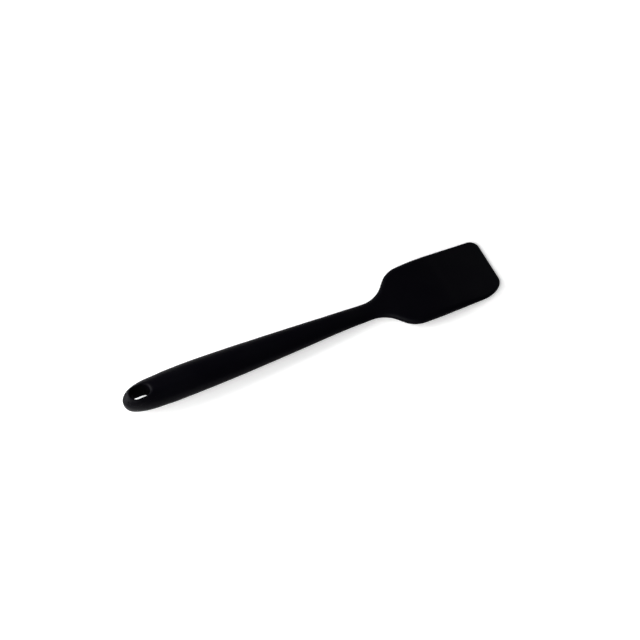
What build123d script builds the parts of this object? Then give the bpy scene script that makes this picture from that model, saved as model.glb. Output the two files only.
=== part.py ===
from build123d import *
import os
from math import cos, radians, sin, sqrt, tan

# A one-piece silicone spatula, lying on its flat underside.
# +X runs from the handle's end to the blade's tip, +Y across it and +Z up.
# The origin is the middle of the underside. All lengths are in millimetres.

# Lengths along the spatula
handle_length = 181.9
handle_end_length = 24.0
handle_end_nose = 5.0
handle_end_dome = 12.0
shoulder_length = 50.0
flare_radius = 22.2
flare_angle = 48.7
shoulder_radius = 18.9
blade_length = 48.1

# Widths
handle_end_width = 22.4
handle_width = 23.9
neck_width = 14.0
shoulder_width = 49.7
blade_width = 50.5
tip_width = 48.2
far_corner_radius = 6.7
near_corner_width = 12.0
near_corner_length = 19.1

# Thicknesses
handle_end_thickness = 18.7
handle_thickness = 17.3
neck_thickness = 5.8
blade_thickness = 6.8
tip_thickness = 1.3
tip_nose = 0.9
tip_land_share = 0.1

# How far in from the side the rounded edge reaches
blade_edge_round = 4.3
tip_edge_round = 1.4
oval_edge_share = 0.88

# Hanging hole
hole_length = 14.0
hole_width = 9.5
hole_from_end = 12.8
hole_lip_width = 3.5
hole_lip_depth = 1.6

# Silicone over the stiff core
end_cover = 2.2
eye_cover = 1.6
hole_lining = 1.4
handle_cover = 2.6
neck_cover = 1.4

# Stiff core: an eight-sided beam with windows that bond the silicone through it, and a tongue in the blade
core_flat_share = 0.55
core_side_share = 0.45
window_count = 7
window_bridge = 6.0
window_width_share = 0.5
beam_past_neck = 12.0
tongue_length = 56.0
tongue_width = 26.0
tongue_root_width = 8.8
tongue_thickness = 2.2
tongue_flare_start = 10.0
tongue_flare_length = 16.0
tongue_flare_radius = 9.0
tongue_corner_radius = 8.0
tongue_hole_diameter = 5.0
tongue_hole_spacing = 8.5
tongue_hole_columns = 2
tongue_hole_rows = 2

# How far a cutting shape runs past what it cuts
overrun = 2.0

# Along the handle to the neck: how far, then how much of the handle's extra width and thickness is left
handle_shares = [
    (0.0, 0.85, 1.0),
    (0.06, 0.99, 0.99),
    (0.15, 1.0, 0.96),
    (0.29, 0.93, 0.83),
    (0.48, 0.70, 0.64),
    (0.70, 0.36, 0.43),
    (0.89, 0.07, 0.22),
    (1.0, 0.0, 0.0),
]
# How many steps each rounded or curved stretch is laid out in
end_steps = 12
handle_steps = 14
shoulder_steps = 16
core_end_steps = 6
core_steps = 6
lip_steps = 4

overall_length = handle_length + shoulder_length + blade_length
handle_end_x = -overall_length / 2
tip_x = overall_length / 2
handle_x = handle_end_x + handle_end_length
neck_x = handle_end_x + handle_length
blade_x = neck_x + shoulder_length
hole_x = handle_end_x + hole_from_end


def blend(first, last, share):
    return first + (last - first) * share


def quarter_ellipse(share):
    """How far a quarter ellipse has risen at this share of its length."""
    return sqrt(max(1 - (1 - min(share, 1)) ** 2, 0))


def cross_section(x, height, half_width, above, below, edge_round, centre=0):
    """A flat-topped oval in the plane at x, with sides of elliptical quarters as deep as edge_round."""
    flat = half_width - edge_round
    with BuildSketch(Plane.YZ.offset(x)) as section:
        with BuildLine():
            Line((centre - flat, height - below), (centre + flat, height - below))
            EllipticalCenterArc((centre + flat, height), edge_round, below, -90)
            EllipticalCenterArc((centre + flat, height), edge_round, above, 0)
            Line((centre + flat, height + above), (centre - flat, height + above))
            EllipticalCenterArc((centre - flat, height), edge_round, above, 90)
            EllipticalCenterArc((centre - flat, height), edge_round, below, 180)
        make_face()
    return section.sketch


def core_section(x, height, half_width, half_thickness):
    """A section of the core: a rectangle with wide chamfers, which leaves even cover inside the oval."""
    flat = half_width * core_flat_share
    side = half_thickness * core_side_share
    corners = [(half_width, side), (flat, half_thickness), (-flat, half_thickness), (-half_width, side)]
    corners += [(-y, -z) for y, z in corners]
    with BuildSketch(Plane.YZ.offset(x)) as section:
        with Locations((0, height)):
            Polygon(*corners, align=None)
    return section.sketch


def end_sizes(start_x, half_width, steps):
    """Stations of a rounded handle end that starts at start_x: x, half width and centre height."""
    for step in range(1, steps + 1):
        share = (step / steps) ** 2
        x = blend(start_x, handle_x, share)
        height = blend(handle_end_thickness, handle_thickness, (x - handle_end_x) / handle_end_length) / 2
        yield x, half_width * quarter_ellipse(share), height


def between(shares, place):
    """The smooth curve through rows of shares: each column's value at a place in the first column."""
    last = len(shares) - 1
    row = max(n for n in range(last) if shares[n][0] <= place)
    values = []
    for column in range(1, len(shares[0])):
        ends = []
        for n in (row, row + 1):
            before, after = shares[max(n - 1, 0)], shares[min(n + 1, last)]
            slope = (after[column] - before[column]) / (after[0] - before[0])
            ends.append((shares[n][column], slope if 0 < n < last else 0))
        span = shares[row + 1][0] - shares[row][0]
        t = (place - shares[row][0]) / span
        (start, start_slope), (end, end_slope) = ends
        values.append(
            start * (1 + 2 * t) * (1 - t) ** 2
            + end * (3 - 2 * t) * t**2
            + span * (start_slope * t * (1 - t) ** 2 - end_slope * (1 - t) * t**2)
        )
    return values


def handle_sizes(steps):
    """Stations along the handle to the neck: how far, x, half width and half thickness."""
    for step in range(1, steps + 1):
        share = step / steps
        wide, thick = between(handle_shares, share)
        half_width = blend(neck_width, handle_width, wide) / 2
        half_thickness = blend(neck_thickness, handle_thickness, thick) / 2
        yield share, blend(handle_x, neck_x, share), half_width, half_thickness


def shoulder_half_width(x):
    """The outline past the neck: a hollow arc, a straight flare, the round of the shoulder and a bowed side."""
    turn = radians(flare_angle)
    flare_start = neck_x + flare_radius * sin(turn)
    flare_start_width = neck_width / 2 + flare_radius * (1 - cos(turn))
    flare_end_width = shoulder_width / 2 - shoulder_radius * (1 - cos(turn))
    flare_end = flare_start + (flare_end_width - flare_start_width) / tan(turn)
    side_start = flare_end + shoulder_radius * sin(turn)
    if x < flare_start:
        return neck_width / 2 + flare_radius - sqrt(flare_radius**2 - (x - neck_x) ** 2)
    if x < flare_end:
        return flare_start_width + (x - flare_start) * tan(turn)
    if x < side_start:
        return shoulder_width / 2 - shoulder_radius + sqrt(shoulder_radius**2 - (side_start - x) ** 2)
    bow = ((blade_x - x) / (blade_x - side_start)) ** 2
    return blend(blade_width, shoulder_width, bow) / 2


def half_thickness_past_neck(x):
    """Half the thickness of the shoulders, and then of the wedge of the blade."""
    if x < blade_x:
        return blend(neck_thickness, blade_thickness, (x - neck_x) / shoulder_length) / 2
    return blend(blade_thickness, tip_thickness, (x - blade_x) / (tip_x - blade_x)) / 2


def corner_inset(x, width, length):
    """How far a rounded tip corner has drawn the side in at x."""
    share = max(x - (tip_x - length), 0) / length
    return width * (1 - sqrt(max(1 - share**2, 0)))


def blade_section(x):
    """A section of the blade, with its two unlike corners and the rounded edge of the tip."""
    share = (x - blade_x) / (tip_x - blade_x)
    half_width = blend(blade_width, tip_width, share) / 2
    near_side = half_width - corner_inset(x, near_corner_width, near_corner_length)
    far_side = half_width - corner_inset(x, far_corner_radius, far_corner_radius)
    height = half_thickness_past_neck(x)
    nose = sqrt(1 - (1 - tip_land_share) * (max(x - (tip_x - tip_nose), 0) / tip_nose) ** 2)
    return cross_section(
        x,
        height,
        (far_side + near_side) / 2,
        height * nose,
        height * nose,
        blend(blade_edge_round, tip_edge_round, share),
        (far_side - near_side) / 2,
    )


# Outer form: one skin from the handle's end over the shoulders, then the wedge and the tip of the blade
outer_sections = []
for x, half_width, height in end_sizes(handle_end_x, handle_end_width / 2, end_steps):
    # The end is domed above, and full below where it lies on the table
    above = height * quarter_ellipse((x - handle_end_x) / handle_end_dome)
    below = height * quarter_ellipse((x - handle_end_x) / handle_end_nose)
    outer_sections.append(cross_section(x, height, half_width, above, below, half_width * oval_edge_share))
for share, x, half_width, height in handle_sizes(handle_steps):
    outer_sections.append(cross_section(x, height, half_width, height, height, half_width * oval_edge_share))
for step in range(1, shoulder_steps):
    share = step / shoulder_steps
    x = blend(neck_x, blade_x, share)
    height = half_thickness_past_neck(x)
    edge_round = blend(neck_width / 2 * oval_edge_share, blade_edge_round, share)
    outer_sections.append(cross_section(x, height, shoulder_half_width(x), height, height, edge_round))
outer_sections.append(blade_section(blade_x))

corner_x = tip_x - near_corner_length
blade_stations = [blade_x]
blade_stations += [corner_x + near_corner_length * sin(radians(angle)) for angle in range(0, 75, 10)]
blade_stations += [tip_x - tip_nose * (1 - sin(radians(angle))) for angle in (0, 30, 50, 70, 90)]

# The core follows the handle under its cover, and thins past the neck to the thickness of its tongue
core_end_x = handle_end_x + end_cover
core_sections = []
for x, half_width, height in end_sizes(core_end_x, handle_end_width / 2 - eye_cover, core_end_steps):
    nose = quarter_ellipse((x - core_end_x) / handle_end_nose)
    core_sections.append(core_section(x, height, half_width, (height - handle_cover) * nose))
for share, x, half_width, height in handle_sizes(core_steps):
    cover = blend(handle_cover, neck_cover, share)
    core_sections.append(core_section(x, height, half_width - cover, height - cover))
tongue_height = neck_thickness / 2
core_sections.append(
    core_section(neck_x + beam_past_neck, tongue_height, tongue_root_width / 2, tongue_thickness / 2)
)


def slot(size_gain, height):
    """The hanging hole's outline at a height, wider all round by size_gain."""
    with BuildSketch(Plane.XY.offset(height)) as outline:
        with Locations((hole_x, 0)):
            SlotOverall(hole_length + 2 * size_gain, hole_width + 2 * size_gain)
    return outline.sketch


# The hanging hole is a straight throat whose lips open out in a quarter round. The lower lip opens to the
# underside, and the upper one to the level of the handle's top at the hole's inner end.
inner_end_share = (hole_from_end + hole_length / 2) / handle_end_length
lip_top = blend(handle_end_thickness, handle_thickness, inner_end_share)
lip_sections = []
for step in range(lip_steps + 1):
    share = step / lip_steps
    lip_sections.append(slot(hole_lip_width * (1 - quarter_ellipse(share)), hole_lip_depth * share))
for step in range(lip_steps, -1, -1):
    share = step / lip_steps
    lip_sections.append(slot(hole_lip_width * (1 - quarter_ellipse(share)), lip_top - hole_lip_depth * share))
lip_sections.append(slot(hole_lip_width, handle_end_thickness))

with BuildPart() as reinforcing_core:
    loft([Vertex(core_end_x, 0, handle_end_thickness / 2)] + core_sections[:core_end_steps], ruled=True)
    loft(core_sections[core_end_steps - 1 :], ruled=True)
    # The eye round the hanging hole leaves room for the lining
    add(slot(hole_lining, -overrun))
    extrude(amount=handle_end_thickness + 2 * overrun, mode=Mode.SUBTRACT)
    # Windows down the handle, narrower as it narrows
    windows_start_x = hole_x + hole_length / 2 + hole_lining + window_bridge
    window_pitch = (neck_x - windows_start_x) / window_count
    with BuildSketch(Plane.XY.offset(-overrun)):
        for number in range(window_count):
            middle_x = windows_start_x + window_pitch * (number + 1 / 2) - window_bridge / 2
            share = (middle_x - handle_x) / (neck_x - handle_x)
            core_width = blend(handle_width - 2 * handle_cover, neck_width - 2 * neck_cover, share)
            with Locations((middle_x, 0)):
                SlotOverall(window_pitch - window_bridge, core_width * window_width_share)
    extrude(amount=handle_end_thickness + 2 * overrun, mode=Mode.SUBTRACT)
    # The tongue, a flat plate that flares out in the root of the blade, with its own bonding holes
    flare_x = neck_x + tongue_flare_start
    tongue_end_x = neck_x + tongue_length
    with BuildSketch(Plane.XY.offset(tongue_height - tongue_thickness / 2)):
        with BuildLine():
            FilletPolyline(
                (neck_x, 0),
                (neck_x, tongue_root_width / 2),
                (flare_x, tongue_root_width / 2),
                (flare_x + tongue_flare_length, tongue_width / 2),
                (tongue_end_x, tongue_width / 2),
                (tongue_end_x, 0),
                radius=[0, tongue_flare_radius, tongue_flare_radius, tongue_corner_radius],
            )
            mirror(about=Plane.XZ)
        make_face()
        with Locations((tongue_end_x - tongue_corner_radius - tongue_hole_spacing / 2, 0)):
            with GridLocations(
                tongue_hole_spacing, tongue_hole_spacing, tongue_hole_columns, tongue_hole_rows
            ):
                Circle(tongue_hole_diameter / 2, mode=Mode.SUBTRACT)
    extrude(amount=tongue_thickness)

with BuildPart() as silicone_body:
    loft([Vertex(handle_end_x, 0, handle_end_thickness / 2)] + outer_sections[:end_steps], ruled=True)
    loft(outer_sections[end_steps - 1 :], ruled=True)
    loft([blade_section(x) for x in blade_stations], ruled=True)
    loft(lip_sections, ruled=True, mode=Mode.SUBTRACT)
    add(reinforcing_core.part, mode=Mode.SUBTRACT)

reinforcing_core.part.label = "reinforcing_core"
silicone_body.part.label = "silicone_body"

os.makedirs("parts", exist_ok=True)
for piece in (reinforcing_core.part, silicone_body.part):
    export_step(piece, f"parts/{piece.label}.step")
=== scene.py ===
from math import cos, pi, radians, sin
from types import SimpleNamespace

import bpy
from mathutils import Matrix, Vector


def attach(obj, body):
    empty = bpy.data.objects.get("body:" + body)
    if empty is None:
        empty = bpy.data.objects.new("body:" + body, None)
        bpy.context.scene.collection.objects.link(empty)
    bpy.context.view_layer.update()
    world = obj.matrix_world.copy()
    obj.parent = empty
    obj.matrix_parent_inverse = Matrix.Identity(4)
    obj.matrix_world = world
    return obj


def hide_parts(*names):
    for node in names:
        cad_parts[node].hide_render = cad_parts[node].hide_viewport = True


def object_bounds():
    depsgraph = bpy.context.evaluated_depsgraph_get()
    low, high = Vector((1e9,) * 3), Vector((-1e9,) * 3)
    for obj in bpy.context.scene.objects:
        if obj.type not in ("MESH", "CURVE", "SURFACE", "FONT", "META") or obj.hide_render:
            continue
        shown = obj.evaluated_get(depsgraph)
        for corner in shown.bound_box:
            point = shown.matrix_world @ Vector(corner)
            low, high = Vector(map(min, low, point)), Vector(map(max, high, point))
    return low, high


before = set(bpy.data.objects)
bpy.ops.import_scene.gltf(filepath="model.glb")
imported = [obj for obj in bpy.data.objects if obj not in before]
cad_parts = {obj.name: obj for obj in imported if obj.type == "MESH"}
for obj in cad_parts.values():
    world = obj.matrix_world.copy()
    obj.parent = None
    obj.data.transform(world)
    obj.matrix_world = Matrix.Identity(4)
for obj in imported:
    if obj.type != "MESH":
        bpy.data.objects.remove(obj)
cad_low, cad_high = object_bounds()


# Silicone body
# One skin of black food-grade silicone, moulded over the stiff core in a two-part steel mould.
# An oval handle with a hanging hole narrows to a neck, then opens into shoulders and a flat blade
# that thins to a flexible tip. Its two tip corners are unlike: one tight and one full.
mm = 0.001


class Field:
    """A node's output. Python's operators on it add Math nodes."""

    def __init__(self, tree, socket):
        self.tree = tree
        self.socket = socket

    def __add__(self, other):
        return self.tree.math("ADD", self, other)

    __radd__ = __add__

    def __sub__(self, other):
        return self.tree.math("SUBTRACT", self, other)

    def __rsub__(self, other):
        return self.tree.math("SUBTRACT", other, self)

    def __mul__(self, other):
        return self.tree.math("MULTIPLY", self, other)

    __rmul__ = __mul__

    def __truediv__(self, other):
        return self.tree.math("DIVIDE", self, other)

    def __pow__(self, other):
        return self.tree.math("POWER", self, other)

    def __abs__(self):
        return self.tree.math("ABSOLUTE", self)

    def __gt__(self, other):
        return self.tree.math("GREATER_THAN", self, other)

    def __lt__(self, other):
        return self.tree.math("LESS_THAN", self, other)


class Tree:
    """A node tree that is written as expressions of Fields."""

    def __init__(self, nodes):
        self.nodes = nodes

    def node(self, kind, settings=None, **sockets):
        """Adds a node with its settings, such as a curve's points, and its sockets' values or links.

        A socket goes by its name, or by its number as _0, _1. Several links into one socket are a list.
        """
        made = self.nodes.nodes.new(kind)
        for name, value in (settings or {}).items():
            if name == "points":
                curve = made.mapping.curves[0]
                for place, height in value[1:-1]:
                    curve.points.new(place, height)
                curve.points[0].location = value[0]
                curve.points[-1].location = value[-1]
                for point in curve.points:
                    point.handle_type = "AUTO_CLAMPED"
                made.mapping.update()
            else:
                setattr(made, name, value)
        for name, value in sockets.items():
            key = int(name[1:]) if name[0] == "_" else name.replace("_", " ")
            for one in value if isinstance(value, list) else [value]:
                if isinstance(one, Field):
                    self.nodes.links.new(one.socket, made.inputs[key])
                else:
                    made.inputs[key].default_value = one
        return made

    def field(self, kind, settings=None, output=0, **sockets):
        return Field(self, self.node(kind, settings, **sockets).outputs[output])

    def math(self, operation, *values):
        numbered = {f"_{number}": value for number, value in enumerate(values)}
        return self.field("ShaderNodeMath", {"operation": operation}, **numbered)

    def clamp(self, value):
        return self.math("MINIMUM", self.math("MAXIMUM", value, 0), 1)

    def root(self, value):
        return self.math("SQRT", self.math("MAXIMUM", value, 0))


def blend(first, last, share):
    """A value that turns from first into last as share goes from 0 to 1."""
    return first + (last - first) * share


body_sizes = {
    "length": cad_high.x - cad_low.x,
    "handle_length": 181.9 * mm,
    "handle_end_length": 24 * mm,
    "handle_end_nose": 5 * mm,
    "handle_end_dome": 12 * mm,
    "shoulder_length": 50 * mm,
    "flare_radius": 22.2 * mm,
    "flare_angle": radians(48.7),
    "shoulder_radius": 18.9 * mm,
    "handle_width": 23.9 * mm,
    "neck_width": 14 * mm,
    "shoulder_width": 49.7 * mm,
    "blade_width": cad_high.y - cad_low.y,
    "tip_width": 48.2 * mm,
    "tight_corner": 6.7 * mm,
    "full_corner_width": 12 * mm,
    "full_corner_length": 19.1 * mm,
    "handle_end_thickness": 18.7 * mm,
    "tip_thickness": 1.3 * mm,
    "tip_nose": 0.9 * mm,
    "oval_edge_share": 0.88,
    "blade_edge_round": 4.3 * mm,
    "tip_edge_round": 1.4 * mm,
    "hole_from_end": 12.8 * mm,
    "hole_length": 14 * mm,
    "hole_width": 9.5 * mm,
    "hole_lip_width": 3.5 * mm,
    "hole_lip_depth": 1.6 * mm,
    "hole_lip_softness": 1 * mm,
    "hole_face_height": 17.55 * mm,
}
# Along the handle: how much of the handle's extra width over the neck there is
handle_width_shares = [
    (0, 0.85),
    (0.10, 0.85),
    (0.14, 0.88),
    (0.184, 0.98),
    (0.26, 1),
    (0.384, 0.93),
    (0.549, 0.70),
    (0.740, 0.36),
    (0.905, 0.07),
    (1, 0),
]
# Along the whole spatula: how much of the end's extra thickness over the tip there is
thickness_shares = [
    (0, 1),
    (0.086, 0.92),
    (0.12, 0.911),
    (0.17, 0.893),
    (0.249, 0.807),
    (0.356, 0.682),
    (0.480, 0.543),
    (0.5875, 0.404),
    (0.618, 0.330),
    (0.650, 0.268),
    (0.680, 0.259),
    (0.739, 0.287),
    (0.800, 0.315),
    (0.838, 0.294),
    (0.875, 0.231),
    (0.936, 0.118),
    (1, 0),
]
# Columns of the mesh along each stretch, and rows across the width
end_columns = 48
handle_columns = 64
shoulder_columns = 56
blade_columns = 48
columns = end_columns + handle_columns + shoulder_columns + blade_columns
rows = 112
# The column at the hole's middle, half the square of faces left out there, and the rings of faces round it:
# those over the lip, and those that fade into the plain columns and rows
hole_column = 35
hole_half = 12
lip_rings = 8
fade_rings = 8
# A rounded side gets rows for its arc, which is longer than its depth
arc_over_depth = 1.2
weld_distance = 0.002 * mm

body_nodes = bpy.data.node_groups.new("silicone_body_form", "GeometryNodeTree")
form = Tree(body_nodes)
sockets = {
    name: body_nodes.interface.new_socket(name, in_out="INPUT", socket_type="NodeSocketFloat")
    for name in body_sizes
}
body_nodes.interface.new_socket("Geometry", in_out="OUTPUT", socket_type="NodeSocketGeometry")
given = form.node("NodeGroupInput")
size = SimpleNamespace(**{name: Field(form, given.outputs[name]) for name in body_sizes})
blade_start = size.handle_length + size.shoulder_length


def shares_of(shares, place):
    """The share at a place between 0 and 1, on a smooth curve through the listed ones."""
    return form.field("ShaderNodeFloatCurve", {"points": shares}, Value=place)


def half_width(x):
    """Half the width at x from the handle's end: rounded end, handle, then the shoulders and the blade."""
    rounded_end = form.root(1 - (1 - form.clamp(x / size.handle_end_length)) ** 2)
    extra = (size.handle_width - size.neck_width) * shares_of(handle_width_shares, x / size.handle_length)
    handle = (size.neck_width + extra) / 2 * rounded_end
    past = x - size.handle_length
    turn_sine = form.math("SINE", size.flare_angle)
    turn_rise = 1 - form.math("COSINE", size.flare_angle)
    turn_slope = form.math("TANGENT", size.flare_angle)
    flare_start = size.flare_radius * turn_sine
    flare_start_width = size.neck_width / 2 + size.flare_radius * turn_rise
    flare_end_width = size.shoulder_width / 2 - size.shoulder_radius * turn_rise
    flare_end = flare_start + (flare_end_width - flare_start_width) / turn_slope
    side_start = flare_end + size.shoulder_radius * turn_sine
    hollow = size.neck_width / 2 + size.flare_radius - form.root(size.flare_radius**2 - past**2)
    flare = flare_start_width + (past - flare_start) * turn_slope
    round_rise = form.root(size.shoulder_radius**2 - (side_start - past) ** 2)
    shoulder = size.shoulder_width / 2 - size.shoulder_radius + round_rise
    bow = ((size.shoulder_length - past) / (size.shoulder_length - side_start)) ** 2
    side = blend(size.blade_width, size.shoulder_width, bow) / 2
    to_tip = (x - blade_start) / (size.length - blade_start)
    blade = blend(size.blade_width, size.tip_width, to_tip) / 2
    width = blend(handle, hollow, x > size.handle_length)
    width = blend(width, flare, past > flare_start)
    width = blend(width, shoulder, past > flare_end)
    width = blend(width, side, past > side_start)
    return blend(width, blade, x > blade_start)


def corner_inset(x, width, length):
    """How far a rounded tip corner has drawn the side in at x."""
    return width * (1 - form.root(1 - form.clamp((x - size.length + length) / length) ** 2))


def section(x):
    """The section at x: half width, middle, how deep its sides' ellipses are, and half its thickness."""
    half = half_width(x)
    tight = half - corner_inset(x, size.tight_corner, size.tight_corner)
    full = half - corner_inset(x, size.full_corner_width, size.full_corner_length)
    handle_edge = half * size.oval_edge_share
    neck_edge = size.neck_width / 2 * size.oval_edge_share
    past_neck = form.clamp((x - size.handle_length) / size.shoulder_length)
    past_blade = form.clamp((x - blade_start) / (size.length - blade_start))
    blade_edge = blend(blend(neck_edge, size.blade_edge_round, past_neck), size.tip_edge_round, past_blade)
    edge = blend(handle_edge, blade_edge, x > size.handle_length)
    extra = (size.handle_end_thickness - size.tip_thickness) * shares_of(thickness_shares, x / size.length)
    return SimpleNamespace(
        half_width=(tight + full) / 2,
        middle=(tight - full) / 2,
        edge=edge,
        half_thickness=(size.tip_thickness + extra) / 2,
    )


def nose(x, end_length):
    """How much of the thickness the rounded end and the rounded tip leave."""
    end = form.root(1 - (1 - form.clamp(x / end_length)) ** 2)
    tip = form.root(1 - form.clamp((x - size.length + size.tip_nose) / size.tip_nose) ** 2)
    return end * tip


# The upper half is a grid of columns and rows, with a square of faces left out for the hole
place = form.node("ShaderNodeSeparateXYZ", Vector=form.field("GeometryNodeInputPosition"))
column = Field(form, place.outputs["X"]) * columns + columns / 2
row = Field(form, place.outputs["Y"]) * rows
grid = form.field("GeometryNodeMeshGrid", Vertices_X=columns + 1, Vertices_Y=rows + 1)
ring = form.math("MAXIMUM", abs(column - hole_column), abs(row)) - hole_half
sheet = form.field("GeometryNodeDeleteGeometry", {"domain": "FACE"}, Geometry=grid, Selection=ring < 0)


def way_through(first, count):
    """How far a column is through a stretch of columns, from 0 to 1."""
    return form.clamp((column - first) / count)


shoulder_column = end_columns + handle_columns
blade_column = shoulder_column + shoulder_columns
grid_x = (
    size.handle_end_length * way_through(0, end_columns) ** 2
    + (size.handle_length - size.handle_end_length) * way_through(end_columns, handle_columns)
    + size.shoulder_length * way_through(shoulder_column, shoulder_columns)
    + (size.length - blade_start) * (1 - (1 - way_through(blade_column, blade_columns)) ** 2)
)
# Across a section the rows first cross its flat and then go down the ellipse of its side
grid_section = section(grid_x)
flat = grid_section.half_width - grid_section.edge
across = abs(row) / (rows / 2)
flat_rows = flat / (flat + grid_section.edge * arc_over_depth)
on_flat = flat * form.clamp(across / flat_rows)
on_side = grid_section.edge * form.math("SINE", form.clamp((across - flat_rows) / (1 - flat_rows)) * (pi / 2))
row_side = form.math("SIGN", row)
grid_share = row_side * (on_flat + on_side) / grid_section.half_width

# Round the hole the rings of faces turn from its square to the slot
square = form.math("MAXIMUM", ring, 0) + hole_half
along_square = (column - hole_column) / square
across_square = row / square
along_side = form.math("SIGN", along_square)
slot_radius = size.hole_width / 2
straight = size.hole_length / 2 - slot_radius
travel = abs(along_square) * (straight + slot_radius * (pi / 4))
slot_turn = form.math("MAXIMUM", travel - straight, 0) / slot_radius
end_turn = across_square * (pi / 4)
at_end = abs(along_square) > abs(across_square)
out_x = along_side * blend(form.math("SINE", slot_turn), form.math("COSINE", end_turn), at_end)
out_y = blend(row_side * form.math("COSINE", slot_turn), form.math("SINE", end_turn), at_end)
slot_middle = along_side * blend(form.math("MINIMUM", travel, straight), straight, at_end)
lip_turn = form.clamp(ring / lip_rings) * (pi / 2)
reach = slot_radius + size.hole_lip_width * (1 - form.math("COSINE", lip_turn))
lip_x = size.hole_from_end + slot_middle + reach * out_x
lip_share = reach * out_y / half_width(lip_x)
faded = form.clamp((ring - lip_rings) / fade_rings)
away = faded * faded * (3 - 2 * faded)
x = blend(lip_x, grid_x, away)
share = blend(lip_share, grid_share, away)

# Where each point lies on the section at its x, and how high it rises over the parting plane
here = section(x)
y_from_middle = share * here.half_width
down_side = form.clamp((abs(y_from_middle) - here.half_width + here.edge) / here.edge)
# The outermost rows and the tip's last column lie on the parting plane, where both halves meet
within_outline = (across < 1) * (column < columns - 0.5)
round_side = here.half_thickness * form.root(1 - down_side**2) * within_outline
# The hole's lips are quarter ellipses that open to a level at the hole's inner end. They run out softly.
past_straight = form.math("MAXIMUM", abs(x - size.hole_from_end) - straight, 0)
past_throat = form.root(past_straight**2 + y_from_middle**2) - slot_radius
lip_level = form.root(1 - (1 - form.clamp(past_throat / size.hole_lip_width)) ** 2)
past_lip = form.math("MAXIMUM", past_throat - size.hole_lip_width, 0)
lip_depth = size.hole_lip_depth * (1 - lip_level) - past_lip
lip_rise = size.hole_face_height - here.half_thickness - lip_depth
lip_fall = here.half_thickness - lip_depth
# The end is domed above, and full below where it lies on the table
oval_rise = round_side * nose(x, size.handle_end_dome)
oval_fall = round_side * nose(x, size.handle_end_nose)
rise = form.math("SMOOTH_MIN", oval_rise, lip_rise, size.hole_lip_softness)
fall = form.math("SMOOTH_MIN", oval_fall, lip_fall, size.hole_lip_softness)
named = {"parting_height": here.half_thickness, "rise": rise, "fall": fall, "ring": form.math("ROUND", ring)}
for name, value in named.items():
    sheet = form.field("GeometryNodeStoreNamedAttribute", Geometry=sheet, Name=name, Value=value)
spot = form.field(
    "ShaderNodeCombineXYZ",
    X=x - size.length / 2,
    Y=here.middle + y_from_middle,
    Z=here.half_thickness + rise,
)
upper = form.field("GeometryNodeSetPosition", Geometry=sheet, Position=spot)


def stored(name):
    """A value that the sheet's points carry with them."""
    return form.field("GeometryNodeInputNamedAttribute", Name=name)


# The hole's rim runs down to the parting plane, and the lower half hangs from it like the upper one
on_rim = abs(stored("ring")) < 0.1
walled = form.node(
    "GeometryNodeExtrudeMesh",
    {"mode": "EDGES"},
    Mesh=upper,
    Selection=on_rim,
    Offset_Scale=0.0,
)
walled_mesh = Field(form, walled.outputs["Mesh"])
wall_foot = Field(form, walled.outputs["Top"])
spot_now = form.node("ShaderNodeSeparateXYZ", Vector=form.field("GeometryNodeInputPosition"))


def moved(to_height):
    """The same points at another height."""
    raised = form.field(
        "ShaderNodeCombineXYZ",
        X=Field(form, spot_now.outputs["X"]),
        Y=Field(form, spot_now.outputs["Y"]),
        Z=to_height,
    )
    return form.field("GeometryNodeSetPosition", Geometry=walled_mesh, Position=raised)


upper = moved(stored("parting_height") + stored("rise") * (1 - wall_foot))
lower = moved(stored("parting_height") - stored("fall") * (1 - wall_foot))
lower = form.field("GeometryNodeFlipFaces", Mesh=lower)
whole = form.field("GeometryNodeJoinGeometry", Geometry=[upper, lower])
whole = form.field("GeometryNodeMergeByDistance", Geometry=whole, Distance=weld_distance)
whole = form.field("GeometryNodeSetShadeSmooth", Geometry=whole)

# Black silicone: almost no colour, a soft sheen, a fine grain from the blasted mould, and faint marks of
# handling and dust. The parting line is a hair's width along the edge.
silicone = bpy.data.materials.new("black_silicone")
silicone.use_nodes = True
silicone.node_tree.nodes.clear()
skin = Tree(silicone.node_tree)
object_place = skin.field("ShaderNodeTexCoord", output="Object")


def noise(tree, coordinates, wave_length, detail=2.0, roughness=0.5):
    """Noise that varies over about wave_length metres."""
    return tree.field(
        "ShaderNodeTexNoise",
        Vector=coordinates,
        Scale=1 / wave_length,
        Detail=detail,
        Roughness=roughness,
    )


def mixed(tree, share, first, last):
    """One colour that turns into another as share goes from 0 to 1."""
    return tree.field("ShaderNodeMix", {"data_type": "RGBA"}, output=2, _0=share, _6=first, _7=last)


grain_size = 0.35 * mm
blotch_size = 18 * mm
rub_size = 5 * mm
grain = noise(skin, object_place, grain_size)
blotches = noise(skin, object_place, blotch_size, detail=4.0)
rubbed = noise(skin, object_place, rub_size, detail=3.0, roughness=0.6)

# Dust lies only where the skin is rubbed most, each speck a small share of the space between specks
speck_spacing = 3.2 * mm
speck_share = 0.035
dusty_above = 0.58
dust_cover = 0.5
specks = skin.field("ShaderNodeTexVoronoi", Vector=object_place, Scale=1 / speck_spacing)
dust = skin.clamp((speck_share - specks) / speck_share) * (rubbed > dusty_above) * dust_cover

silicone_dark = (0.0009, 0.0008, 0.0018, 1)
silicone_worn = (0.0014, 0.0013, 0.0022, 1)
dust_colour = (0.012, 0.012, 0.013, 1)
wear_contrast = 2
wear_start = 0.3
worn = skin.clamp((blotches - wear_start) * wear_contrast)
colour = mixed(skin, worn, silicone_dark, silicone_worn)
colour = mixed(skin, dust, colour, dust_colour)

# The hole's wall keeps the rough finish of the mould's pin, which no hand wears smooth
moulded_roughness = 0.35
blotch_roughness = 0.06
rub_roughness = 0.05
wall_roughness = 0.9
wall_fade_rings = 2
worn_roughness = moulded_roughness + blotches * blotch_roughness + rubbed * rub_roughness
rings_out = skin.field("ShaderNodeAttribute", {"attribute_name": "ring"}, output="Fac")
on_wall = skin.clamp(1 - rings_out / wall_fade_rings)

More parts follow.
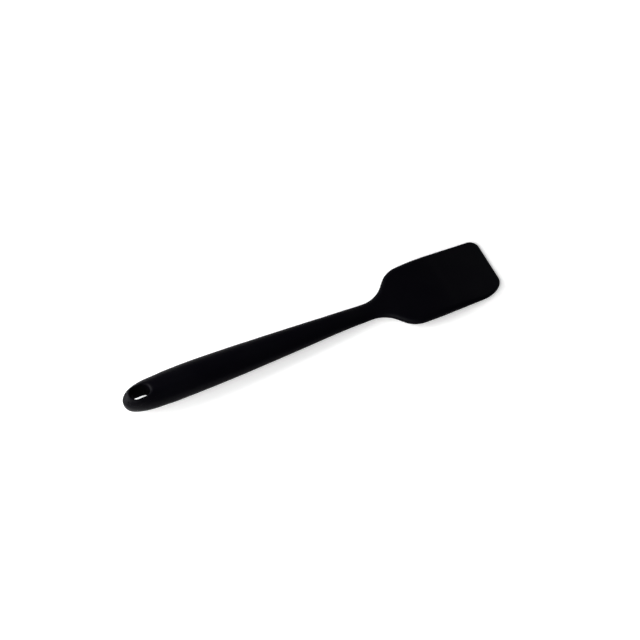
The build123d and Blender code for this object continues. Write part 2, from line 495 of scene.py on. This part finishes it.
# Shares of the bump's full depth that the grain, the rubbing and the parting line take
grain_relief = 0.35
rub_relief = 0.1
parting_relief = 0.8
parting_half_width = 0.12 * mm
bump_depth = 0.05 * mm
bump_strength = 0.35
parting_rise = skin.field("ShaderNodeAttribute", {"attribute_name": "rise"}, output="Fac")
parting_line = skin.clamp(1 - abs(parting_rise) / parting_half_width)
relief = grain * grain_relief + rubbed * rub_relief + parting_line * parting_relief
silicone_bump = skin.field("ShaderNodeBump", Strength=bump_strength, Distance=bump_depth, Height=relief)
sheen_level = 0.033
silicone_shader = skin.field(
    "ShaderNodeBsdfPrincipled",
    Base_Color=colour,
    Roughness=blend(worn_roughness, wall_roughness, on_wall),
    Specular_IOR_Level=sheen_level,
    Normal=silicone_bump,
)
skin.node("ShaderNodeOutputMaterial", Surface=silicone_shader)

whole = form.field("GeometryNodeRealizeInstances", Geometry=whole)
whole = form.field("GeometryNodeSetMaterial", Geometry=whole, Material=silicone)
form.node("NodeGroupOutput", Geometry=whole)

blank = bpy.data.objects.new("blank", bpy.data.meshes.new("blank"))
bpy.context.scene.collection.objects.link(blank)
former = blank.modifiers.new("form", "NODES")
former.node_group = body_nodes
for name, value in body_sizes.items():
    former[sockets[name].identifier] = value
evaluated = blank.evaluated_get(bpy.context.evaluated_depsgraph_get())
spatula_mesh = bpy.data.meshes.new_from_object(evaluated)
bpy.data.objects.remove(blank)
spatula_mesh.name = "spatula_silicone"
spatula = bpy.data.objects.new("spatula_silicone", spatula_mesh)
bpy.context.scene.collection.objects.link(spatula)
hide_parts("silicone_body")
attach(spatula, "root")


# Reinforcing core
# The stiff insert that the silicone is moulded over, in glass-filled nylon. The silicone seals it in.
# Short glass fibres show on it as fine pale streaks along its length, where the melt ran.
nylon = bpy.data.materials.new("glass_filled_nylon")
nylon.use_nodes = True
nylon.node_tree.nodes.clear()
insert = Tree(nylon.node_tree)
core_place = insert.field("ShaderNodeTexCoord", output="Object")
fibre_width = 0.25 * mm
width_over_length = 0.08
flow_size = 12 * mm
fibre_place = insert.field("ShaderNodeMapping", Vector=core_place, Scale=(width_over_length, 1, 1))
fibres = noise(insert, fibre_place, fibre_width, detail=1.0)
flow = noise(insert, core_place, flow_size, detail=3.0)

nylon_dark = (0.028, 0.028, 0.030, 1)
nylon_pale = (0.075, 0.074, 0.072, 1)
fibre_start = 0.6
fibre_contrast = 4
fibre_cover = 0.6
flow_cover = 0.15
streaks = insert.clamp((fibres - fibre_start) * fibre_contrast) * fibre_cover
nylon_colour = mixed(insert, streaks + flow * flow_cover, nylon_dark, nylon_pale)

smooth_roughness = 0.5
flow_roughness = 0.15
fibre_relief = 0.04 * mm
fibre_strength = 0.25
nylon_bump = insert.field("ShaderNodeBump", Strength=fibre_strength, Distance=fibre_relief, Height=fibres)
nylon_shader = insert.field(
    "ShaderNodeBsdfPrincipled",
    Base_Color=nylon_colour,
    Roughness=smooth_roughness + flow * flow_roughness,
    Normal=nylon_bump,
)
insert.node("ShaderNodeOutputMaterial", Surface=nylon_shader)
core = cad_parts["reinforcing_core"]
core.data.materials.clear()
core.data.materials.append(nylon)


# Camera
# Above and in front of the spatula, which lies turned in the picture with its blade away to the right.
# The picture's middle is given from the spatula's own, along the picture, and the scale sets the lens.
camera_elevation = radians(57.96)
spatula_turn = radians(24.94)
camera_distance = 1.0
picture_width = 640
pixels_per_metre = 1437.0
picture_middle = (4.79 * mm, 11.0 * mm)
rightward = Vector((cos(spatula_turn), -sin(spatula_turn), 0))
away_ground = Vector((sin(spatula_turn), cos(spatula_turn), 0))
upward = Vector((0, 0, 1))
forward = away_ground * cos(camera_elevation) - upward * sin(camera_elevation)
picture_up = away_ground * sin(camera_elevation) + upward * cos(camera_elevation)
camera_data = bpy.data.cameras.new("camera")
camera = bpy.data.objects.new("camera", camera_data)
bpy.context.scene.collection.objects.link(camera)
camera_data.lens = pixels_per_metre * camera_distance / picture_width * camera_data.sensor_width
spot_of_camera = rightward * picture_middle[0] + picture_up * picture_middle[1] - forward * camera_distance
camera_turn = Matrix((rightward, picture_up, -forward)).transposed()
camera.matrix_world = Matrix.Translation(spot_of_camera) @ camera_turn.to_4x4()
bpy.context.scene.camera = camera


# Floor
# A plain white table. Round the spatula the lamps light it and the spatula shades it, and a little light of
# its own brings it to white. Further out, beyond the lamps' reach, its own light does it all.
floor_radius = 1.5
round_steps = 96
floor_mesh = bpy.data.meshes.new("floor")
turns = [2 * pi * step / round_steps for step in range(round_steps)]
floor_points = [(floor_radius * cos(turn), floor_radius * sin(turn), 0) for turn in turns]
floor_mesh.from_pydata(floor_points, [], [tuple(range(round_steps))])
floor = bpy.data.objects.new("floor", floor_mesh)
bpy.context.scene.collection.objects.link(floor)

white_paper = bpy.data.materials.new("white_paper")
white_paper.use_nodes = True
white_paper.node_tree.nodes.clear()
paper = Tree(white_paper.node_tree)
rays = paper.node("ShaderNodeLightPath")
seen = paper.clamp(
    Field(paper, rays.outputs["Is Camera Ray"])
    + Field(paper, rays.outputs["Is Glossy Ray"])
    + Field(paper, rays.outputs["Is Transmission Ray"])
)
paper_white = (0.95, 0.95, 0.95, 1)
plain_white = (1, 1, 1, 1)
own_level = 0.28
shadow_reach = 0.2
outer_reach = 0.45
lamplit = paper.field("ShaderNodeBsdfDiffuse", Color=paper_white)
table_place = paper.field("ShaderNodeTexCoord", output="Object")
from_middle = paper.field("ShaderNodeVectorMath", {"operation": "LENGTH"}, output="Value", _0=table_place)
outward = paper.clamp((from_middle - shadow_reach) / (outer_reach - shadow_reach))
own_strength = seen * blend(own_level, 1, outward)
own_light = paper.field("ShaderNodeEmission", Color=plain_white, Strength=own_strength)
paper_shader = paper.field("ShaderNodeAddShader", _0=lamplit, _1=own_light)
paper.node("ShaderNodeOutputMaterial", Surface=paper_shader)
floor_mesh.materials.append(white_paper)


# Studio light
# A dim room with a white sweep that fades just above the horizon. Two soft lamps stand near the handle's end,
# a low one that draws the end's edge and the lip of the hole, and a higher one behind it. One stands near the
# blade's tip, and a large one in front at the left lights the table.


def soft_lamp(name, aim, across, away, up, width, height, watts):
    """A soft lamp aimed at a point, and placed from there across the picture, away from the camera and up."""
    data = bpy.data.lights.new(name, "AREA")
    data.shape = "RECTANGLE"
    data.size = width
    data.size_y = height
    data.energy = watts
    lamp = bpy.data.objects.new(name, data)
    from_aim = rightward * across + away_ground * away + upward * up
    lamp.location = aim + from_aim
    lamp.rotation_euler = (-from_aim).to_track_quat("-Z", "Y").to_euler()
    lamp.visible_camera = False
    bpy.context.scene.collection.objects.link(lamp)


handle_end = Vector((cad_low.x, 0, 0))
blade_tip = Vector((cad_high.x, 0, 0))
middle = Vector((0, 0, 0))
soft_lamp("end_lamp", handle_end, across=-0.465, away=-0.08, up=0.17, width=0.6, height=0.3, watts=6)
soft_lamp("side_lamp", handle_end, across=-0.445, away=0.21, up=0.345, width=0.4, height=0.4, watts=3)
soft_lamp("tip_lamp", blade_tip, across=0.36, away=0.45, up=0.22, width=0.35, height=0.35, watts=1.1)
soft_lamp("front_lamp", middle, across=-0.49, away=-0.85, up=0.69, width=0.8, height=0.6, watts=9)

world = bpy.data.worlds.new("studio")
bpy.context.scene.world = world
world.use_nodes = True
world.node_tree.nodes.clear()
room = Tree(world.node_tree)
room_level = 0.12
sweep_top = 0.12
direction = room.node("ShaderNodeSeparateXYZ", Vector=room.field("ShaderNodeTexCoord", output="Generated"))
above_sweep = room.clamp(Field(room, direction.outputs["Z"]) / sweep_top)
room_strength = blend(1, room_level, above_sweep)
room_light = room.field("ShaderNodeBackground", Color=plain_white, Strength=room_strength)
room.node("ShaderNodeOutputWorld", Surface=room_light)
bpy.context.scene.view_settings.view_transform = "Standard"
